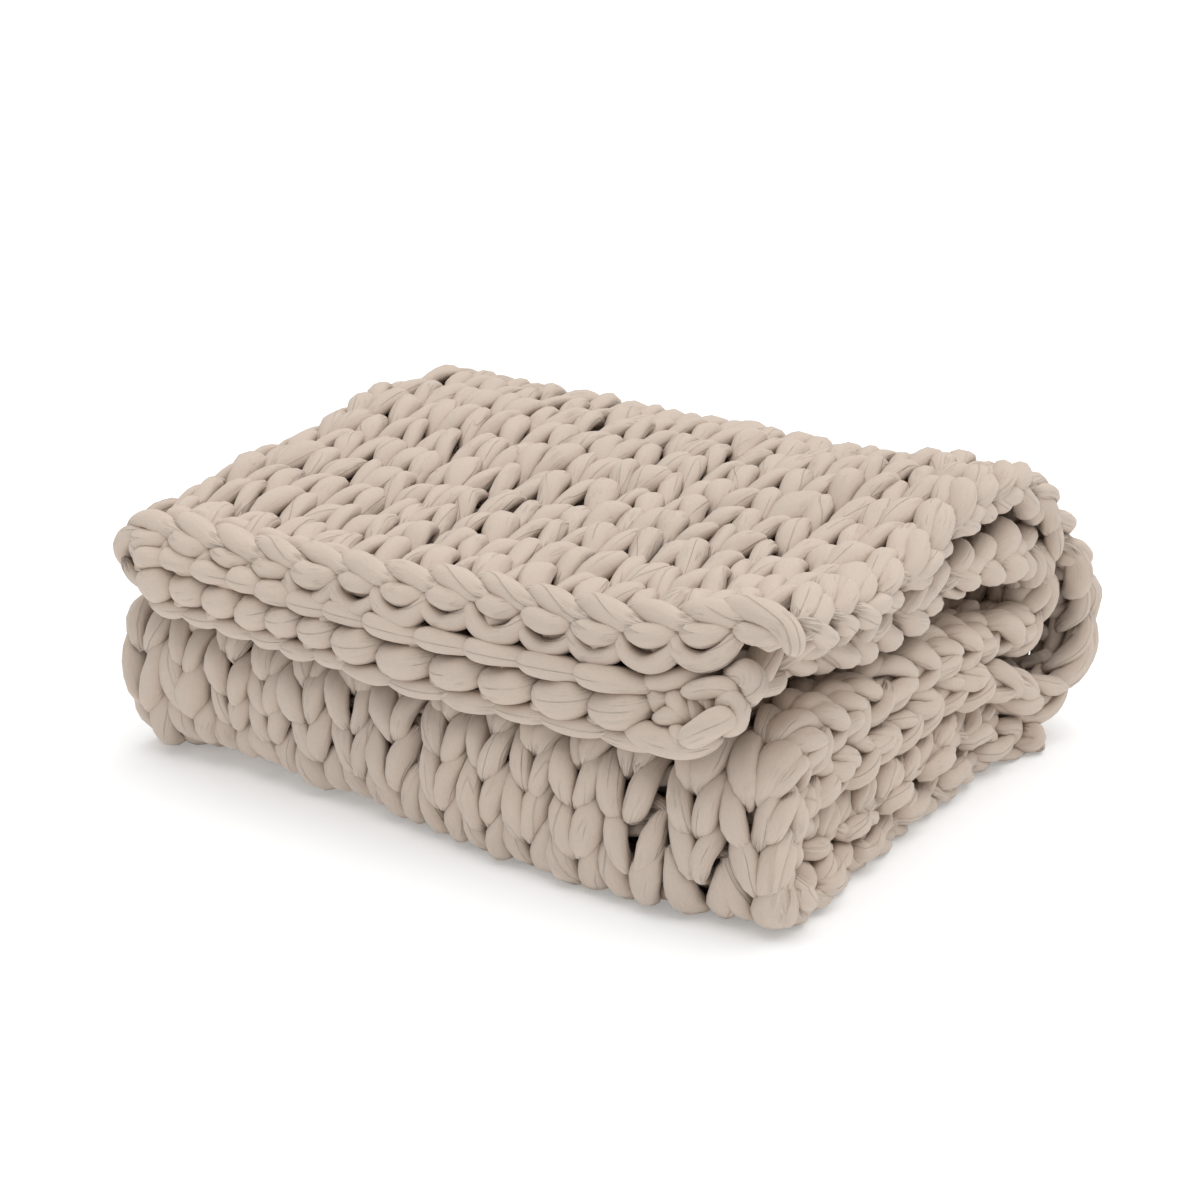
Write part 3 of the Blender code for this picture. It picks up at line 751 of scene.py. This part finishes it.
class Nodes:
    """Short ways to add and join shader nodes."""

    def __init__(self, tree):
        self.tree = tree

    def add(self, kind, inputs=(), **settings):
        node = self.tree.nodes.new(kind)
        for name, value in settings.items():
            setattr(node, name, value)
        for socket, value in inputs:
            if isinstance(value, bpy.types.NodeSocket):
                self.tree.links.new(value, node.inputs[socket])
            else:
                node.inputs[socket].default_value = value
        return node

    def math(self, operation, *values):
        return self.add("ShaderNodeMath", list(enumerate(values)), operation=operation).outputs[0]

    def ramp(self, value, low, high, start=0.0, end=1.0):
        """start below low, end above high, and a smooth change between."""
        return self.add("ShaderNodeMapRange", [("Value", value), ("From Min", low), ("From Max", high),
                                               ("To Min", start), ("To Max", end)],
                        interpolation_type="SMOOTHSTEP").outputs["Result"]

    def noise(self, vector, scale, detail=2.0, roughness=0.5, distortion=0.0):
        return self.add("ShaderNodeTexNoise", [("Vector", vector), ("Scale", scale), ("Detail", detail),
                                               ("Roughness", roughness), ("Distortion", distortion)]
                        ).outputs["Fac"]

    def along(self, yarn, stretch, detail, roughness, distortion):
        """Noise that is stretched along the yarn."""
        stretched = self.add("ShaderNodeVectorMath", [(0, yarn), (1, stretch)], operation="MULTIPLY")
        return self.noise(stretched.outputs[0], 1.0, detail, roughness, distortion)

    def places(self, place, scale, low, high, detail=2.0):
        """1 in some places and 0 in others."""
        return self.ramp(self.noise(place, scale, detail), low, high)

    def mark(self, value, middle, width):
        """1 where the value is at its middle, and 0 away from it."""
        away = self.math("ABSOLUTE", self.math("SUBTRACT", value, middle))
        return self.ramp(away, *width, 1.0, 0.0)

    def mix(self, share, first, second):
        return self.add("ShaderNodeMix", [(0, share), (6, first), (7, second)], data_type="RGBA").outputs[2]


def jersey_material():
    """Stuffed cotton jersey tube: matt, with creases that run along it and gather where it is pinched. Shade
    is painted into its colour in the creases, thin lines and hollows, and along the seam with its own darker
    line.
    """
    material = bpy.data.materials.new("jersey_yarn")
    material.use_nodes = True
    nodes = Nodes(material.node_tree)
    shader = material.node_tree.nodes["Principled BSDF"]
    set_inputs(shader, {"Specular IOR Level": SPECULAR, "Sheen Weight": SHEEN,
                        "Sheen Roughness": SHEEN_ROUGHNESS})

    yarn = nodes.add("ShaderNodeAttribute", attribute_name="yarn").outputs["Vector"]
    pinch = nodes.add("ShaderNodeAttribute", attribute_name="pinch").outputs["Fac"]
    place = nodes.add("ShaderNodeTexCoord").outputs["Object"]

    folds = nodes.along(yarn, *FOLD_NOISE)
    folds = nodes.math("MULTIPLY", folds, nodes.ramp(pinch, 0.0, FOLDED_TO, LEAST_FOLD, 1.0))
    grain = nodes.along(yarn, *GRAIN_NOISE)
    loose = nodes.math("MULTIPLY", nodes.places(place, *CREASE_PLACES), LOOSE_CREASES)
    gathered = nodes.math("MAXIMUM", nodes.ramp(pinch, CREASED_FROM, CREASED_TO), loose)
    creases, lines = nodes.along(yarn, *CREASE_NOISE), nodes.along(yarn, *LINE_NOISE)
    crease = nodes.math("MULTIPLY", nodes.mark(creases, NOISE_MIDDLE, CREASE_WIDTH), gathered)
    line = nodes.math("MULTIPLY", nodes.mark(lines, NOISE_MIDDLE, LINE_WIDTH),
                      nodes.places(place, *LINE_PLACES))
    parts = nodes.add("ShaderNodeSeparateXYZ", [(0, yarn)]).outputs
    around = nodes.math("ARCTAN2", parts["Y"], parts["X"])
    wandering = nodes.math("SINE", nodes.math("MULTIPLY", parts["Z"], SEAM_WAVE))
    seam = nodes.mark(around, nodes.math("MULTIPLY", wandering, SEAM_SWING), SEAM_WIDTH)
    seam = nodes.math("MULTIPLY", seam, nodes.places(place, *SEAM_PLACES))

    height = nodes.math("ADD", nodes.math("MULTIPLY", folds, FOLD_DEPTH),
                        nodes.math("MULTIPLY", grain, GRAIN_DEPTH))
    # Painted shade: each mark darkens the colour as well as the surface (the seam partly by its own darker
    # line).
    shade_and_seam_shares = []
    for mark, depth, share in ((crease, CREASE_DEPTH, CREASE_SHADE_SHARE), (seam, SEAM_DEPTH, SEAM_LINE_AND_SHADE_SHARE),
                               (line, LINE_DEPTH, LINE_SHADE_SHARE)):
        height = nodes.math("SUBTRACT", height, nodes.math("MULTIPLY", mark, depth))
        shade_and_seam_shares.append(nodes.math("MULTIPLY", mark, share))
    bump = nodes.add("ShaderNodeBump", [("Height", height), ("Distance", BUMP_UNIT), ("Strength", 1.0)])

    # Painted shade in the hollows between pressed-together yarn, from ambient occlusion.
    hollow_shade = nodes.add("ShaderNodeAmbientOcclusion", [("Distance", HOLLOW_REACH)], samples=HOLLOW_SAMPLES)
    shade_and_seam_shares.append(nodes.ramp(hollow_shade.outputs["AO"], HOLLOW_DARK, HOLLOW_OPEN, HOLLOW_SHADE_SHARE, 0.0))
    painted_shade_and_seam = shade_and_seam_shares[0]
    for share in shade_and_seam_shares[1:]:
        painted_shade_and_seam = nodes.math("ADD", painted_shade_and_seam, share)
    colour = nodes.mix(nodes.places(place, *BLOTCHES, BLOTCH_DETAIL), COLOUR_COOL, COLOUR_WARM)
    colour = nodes.mix(nodes.ramp(grain, *GRAIN_DARK, 0.0, GRAIN_SHARE), colour, COLOUR_SHADE_AND_GRAIN)
    # Painted shade: the creases, lines, seam and hollows take on the dark colour.
    colour = nodes.mix(nodes.math("MINIMUM", painted_shade_and_seam, MOST_SHARE), colour, COLOUR_SHADE_AND_GRAIN)
    rough = nodes.ramp(grain, *GRAIN_ROUGH, *ROUGHNESS)
    for socket, value in (("Base Color", colour), ("Roughness", rough), ("Normal", bump.outputs["Normal"])):
        material.node_tree.links.new(value, shader.inputs[socket])
    return material


def rounded_ends(line):
    """The line with its ends drawn in as a ball's are."""
    across = line[:, 3:5].max(1)
    for way in (slice(None), slice(None, None, -1)):
        part = line[way]
        mm = part[:, :3] * (1000 * COLUMN, 1000 * LOOSE_PITCH, 1.0)
        gone = np.concatenate([[0.0], np.cumsum(np.linalg.norm(np.diff(mm, axis=0), axis=1))])
        reach = across[way][np.searchsorted(gone, TIP_MM)]
        inside = gone < reach
        part[inside, 3:5] = np.minimum(part[inside, 3:5], reach * np.sqrt(np.maximum(
            1 - (1 - gone[inside, None] / reach) ** 2, LEAST_TIP)))
    return line


def loose_piece(sheet, rows, rng, steps=LOOSE_STEPS):
    """One closed tube along rows in fabric coordinates."""
    outline = LOOSE_OUTLINE * bounded(rng, (len(rows), OUTLINE_TERMS), MOST_LOOSE)
    line = rounded_ends(along_curve(np.concatenate([rows, outline], 1), steps))
    return tube_rings(sheet, line, SIDES, steady=True)


def edge_rows(table, start, rng, flip, cast_on=False, length=1.0):
    """Rows of an edge's table in fabric coordinates."""
    rows = np.array(table, float)
    rows[:, 0] *= length
    rows[:, 1:3] += rng.normal(size=2) * EDGE_SHIFT_MM
    rows[:, 3:5] *= 1 + EDGE_SIZE * rng.normal()
    rows[:, 0] = start + (-rows[:, 0] if flip else rows[:, 0])
    if flip:
        rows[:, 5] *= -1
    past = rows[:, 1] / 1000 / LOOSE_PITCH
    rows[:, 1] = -past if cast_on else LAST_HEADS + past
    return rows


def knot_rows(places):
    """A piece of the knot as rows of an edge's table, to a hundredth of a column and half a mm."""
    right, down, near, wide, thick = np.array(places, float).T
    right = KNOT_VIEW_AT[0] + right / KNOT_VIEW_ZOOM[0]
    down = KNOT_VIEW_AT[1] + down / KNOT_VIEW_ZOOM[1] - KNOT_ZERO[1]
    past = KNOT_PAST[0] * near + KNOT_PAST[1] * down
    lift = KNOT_LIFT[0] * near + KNOT_LIFT[1] * down
    column = (KNOT_ZERO[0] + KNOT_PAST_PIXELS * past + KNOT_LIFT_PIXELS * lift - right) / COLUMN_PIXELS
    past, lift = np.round(past * 2) / 2, np.round(lift * 2) / 2
    return np.stack([np.round(column, 2), past, lift, wide, thick, np.zeros(len(places))], 1)


def bind_off(sheet, rng):
    """The bind-off chain all along the edge, and what shows behind it on each layer."""
    looped = CHAIN_LINKS[BARE_LINKS:]
    made = [(CHAIN_LINK, start, False, 1.0) for start in CHAIN_LINKS]
    made += [(OUTER_CRESCENT, start, False, 1.0) for start in looped]
    made += [(INNER_CRESCENT, start, False, 1.0) for start in (*looped, looped[-1] + CHAIN_PITCH)]
    for start, end in zip(LOWER_STITCHES[:-1], LOWER_STITCHES[1:]):
        length, first = start - end, start == LOWER_STITCHES[0]
        tables = (STRAND, PURL_STRAND, UNDER_STRAND) if first else (BEAD, STRAND, PURL_STRAND, UNDER_STRAND)
        made += [(table, start, True, length) for table in tables]
        if not first:
            made += [(table, start - RIM_SHIFT, True, length) for table in (RIM_LINK, WEDGE)]
    made += [(table, 0.0, False, 1.0) for table in (HOOK, *map(knot_rows, KNOT_PLACES), CORNER_FILL)]
    return [loose_piece(sheet, edge_rows(table, start, rng, flip, False, length), rng)
            for table, start, flip, length in made]


def side_edges(sheet, rng):
    """The loops that wrap round the two side edges, and the cast-on edge."""
    made = []
    for side, way in ((0, -1), (COLUMNS, 1)):
        for number in range(1, COURSES):
            squeezed = sheet.squeeze(np.array([side]), np.array([number + 1.0]))[0]
            pulled = np.interp(number, *np.array(SELVEDGE_IN).T)
            hanging = HANGING_SIZE if number > TOP_COURSE and not side else 1.0
            for table in (SELVEDGE, SELVEDGE_BACK):
                rows = np.array(table, float)
                middle = rows[:, 2].mean()
                slant = 1 + SIDE_SLANT * bounded(rng, None, MOST_SLANT)
                rows[:, 0] = side + way * (rows[:, 0] - pulled + SIDE_SWAY * rng.normal())
                rows[:, 1] += number + 0.5 + SIDE_SLIDE * rng.normal()
                rows[:, 2] = middle + (rows[:, 2] - middle) * slant + SIDE_RISE * rng.normal()
                rows[:, 3:5] *= (1 + SIDE_SIZE * rng.normal()) * squeezed * hanging
                made.append(loose_piece(sheet, rows, rng, SIDE_STEPS))
        for place, lift, wide, thick in SELVEDGE_CORES:
            core = np.tile((side + way * place, 0.0, lift, wide, thick, 0.0), (len(CORE_LEVELS), 1))
            core[:, 1] = CORE_LEVELS
            core[:, 3:5] *= 1 + CORE_SIZE * bounded(rng, (len(CORE_LEVELS), 1), MOST_CORE)
            made.append(loose_piece(sheet, core, rng, CORE_STEPS))
    made += [loose_piece(sheet, np.array(rows, float), rng) for rows in CAST_ON_CORNERS]
    for start in np.arange(CAST_ON_FROM, CAST_ON_TO, 1.0):
        made.append(loose_piece(sheet, edge_rows(CAST_ON_LINK, start, rng, False, True), rng))
    return made


def add_piece(name, mesh, material):
    mesh.materials.append(material)
    piece = bpy.data.objects.new(name, mesh)
    bpy.context.scene.collection.objects.link(piece)
    return piece


def knit(sheet):
    material = jersey_material()
    controls, steps = yarn_controls(sheet, np.random.default_rng(KNIT_SEED))
    rings, yarn, pinch = tube_rings(sheet, along_curve(controls, steps), SIDES)
    cuts = np.linspace(0, len(rings) - 1, KNIT_PIECES + 1).astype(int)
    made = []
    for number, (first, last) in enumerate(zip(cuts[:-1], cuts[1:])):
        name = f"knit_{number + 1}"
        part = rings[first:last + 1], yarn[first:last + 1], pinch[first * SIDES:(last + 1) * SIDES]
        made.append(add_piece(name, joined_tubes(name, [part]), material))
    for name, tubes, seed in (("bind_off", bind_off, EDGE_SEED), ("side_edges", side_edges, SIDE_SEED)):
        mesh = joined_tubes(name, tubes(sheet, np.random.default_rng(seed)))
        made.append(add_piece(name, mesh, material))
    return made


def set_camera():
    data = bpy.data.cameras.new("camera")
    data.lens, data.sensor_width = LENS_MM, SENSOR_MM
    camera = bpy.data.objects.new("camera", data)
    bpy.context.scene.collection.objects.link(camera)
    ahead = Vector((-math.sin(CAMERA_TURN) * math.cos(CAMERA_DIP),
                    math.cos(CAMERA_TURN) * math.cos(CAMERA_DIP), -math.sin(CAMERA_DIP)))
    right = Vector((math.cos(CAMERA_TURN), math.sin(CAMERA_TURN), 0.0))
    up = right.cross(ahead)
    turned = Matrix((right, up, -ahead)).transposed()
    camera.matrix_world = Matrix.Translation(CAMERA_AT) @ turned.to_4x4()
    bpy.context.scene.camera = camera


def set_studio():
    reach = FLOOR_REACH
    mesh = bpy.data.meshes.new("floor")
    mesh.from_pydata([(-reach, -reach, 0), (reach, -reach, 0), (reach, reach, 0), (-reach, reach, 0)],
                     [], [(0, 1, 2, 3)])
    material = bpy.data.materials.new("floor")
    material.use_nodes = True
    set_inputs(material.node_tree.nodes["Principled BSDF"], {
        "Base Color": FLOOR_COLOUR, "Roughness": 1.0, "Specular IOR Level": 0.0,
        "Emission Color": FLOOR_GLOW, "Emission Strength": FLOOR_GLOW_STRENGTH})
    add_piece("floor", mesh, material)

    world = bpy.data.worlds.new("studio")
    world.use_nodes = True
    set_inputs(world.node_tree.nodes["Background"], {"Color": WHITE, "Strength": SKY_STRENGTH})
    bpy.context.scene.world = world
    sun = bpy.data.lights.new("key", "SUN")
    sun.energy, sun.angle = SUN_STRENGTH, SUN_WIDTH
    key = bpy.data.objects.new("key", sun)
    key.rotation_euler = SUN_TURN
    bpy.context.scene.collection.objects.link(key)
    bpy.context.scene.view_settings.view_transform = "Standard"


set_camera()
set_studio()
pieces = knit(Sheet())
for piece in pieces:
    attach(piece, "root")
    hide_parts("blanket")
